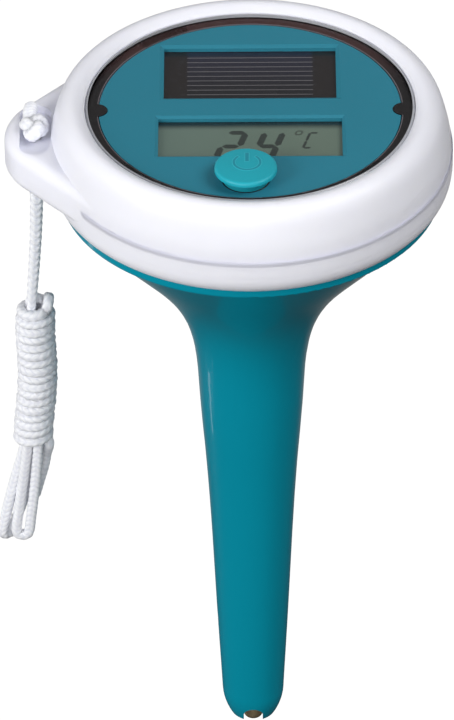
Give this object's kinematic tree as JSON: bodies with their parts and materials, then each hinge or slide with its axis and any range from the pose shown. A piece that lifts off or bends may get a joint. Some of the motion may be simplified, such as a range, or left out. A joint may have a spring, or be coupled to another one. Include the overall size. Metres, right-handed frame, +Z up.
{
  "type": "floating pool thermometer",
  "caption": "Floating pool thermometer: solar powered display in a white float ring, push button, tapering teal stem with a probe at its tip, and a wound lanyard on a side lug.",
  "frame": {"origin": "on the stem axis at the parting plane between the float ring and the body, which is about the waterline when it floats", "axes": "+Z up out of the dial along the stem axis; the lanyard lug is on -X; the display is read from -Y"},
  "size_m": [0.1124, 0.0976, 0.1921],
  "materials": {
    "ring_white": "glossy white moulded plastic",
    "body_teal": "glossy teal moulded plastic",
    "plate_teal": "fine satin teal plastic",
    "button_teal": "satin gloss teal plastic",
    "clear_lens": "clear polished acrylic",
    "black_seal": "black rubber",
    "cell_dark": "dark amorphous silicon behind glass, with thin silver lines",
    "tape_black": "matt black tape",
    "display_glass": "grey green reflective liquid crystal glass",
    "board_plastic": "black moulded plastic",
    "grey_rubber": "banded grey rubber",
    "board_green": "green solder mask",
    "chip_black": "matt black resin",
    "screw_steel": "zinc plated steel",
    "cell_steel": "nickel plated steel",
    "contact_brass": "plated spring brass",
    "probe_brass": "dull brass",
    "wire_cover": "soft wire insulation",
    "potting_resin": "dark cast resin",
    "ballast_iron": "plain iron slug",
    "foam_grey": "closed cell foam",
    "cord_white": "white braided cord"
  },
  "bodies": {
    "housing": {"ballast_plug": "foam_grey", "ballast_weight": "ballast_iron", "battery_contact": "contact_brass", "battery_holder": "board_plastic", "board_screws": "screw_steel", "body_seal": "black_seal", "body_shell": "body_teal", "circuit_board": "board_green", "coin_cell": "cell_steel", "driver_chip": "chip_black", "face_plate": "plate_teal", "float_ring": "ring_white", "lanyard_cord": "cord_white", "lanyard_hank": "cord_white", "lanyard_knot": "cord_white", "lcd_frame": "board_plastic", "lcd_glass": "display_glass", "lead_plug": "board_plastic", "lead_socket": "board_plastic", "lens": "clear_lens", "lens_gasket": "black_seal", "probe_cap": "probe_brass", "probe_lead": "wire_cover", "probe_potting": "potting_resin", "solar_cell": "cell_dark", "solar_leads": "wire_cover", "solar_tape": "tape_black", "switch_body": "chip_black", "thermistor": "chip_black", "zebra_strips": "grey_rubber"},
    "button": {"button_cap": "button_teal", "button_oring": "black_seal", "button_clip": "screw_steel", "button_spring": "screw_steel"},
    "switch_plunger": {"switch_plunger": "board_plastic"}
  },
  "joints": [
    {"name": "button_press", "type": "slide", "parent": "housing", "child": "button", "axis": [0, 0, -1], "range_m": [0, 0.0006], "stiffness_N_per_m": 600, "springref_m": -0.001, "deforming": ["button_spring"]},
    {"name": "plunger_press", "type": "slide", "parent": "housing", "child": "switch_plunger", "axis": [0, 0, -1], "range_m": [0, 0.0006], "stiffness_N_per_m": 20, "springref_m": -0.0005}
  ],
  "couplings": [
    {"joint": "plunger_press", "follows": "button_press", "ratio": 1}
  ]
}
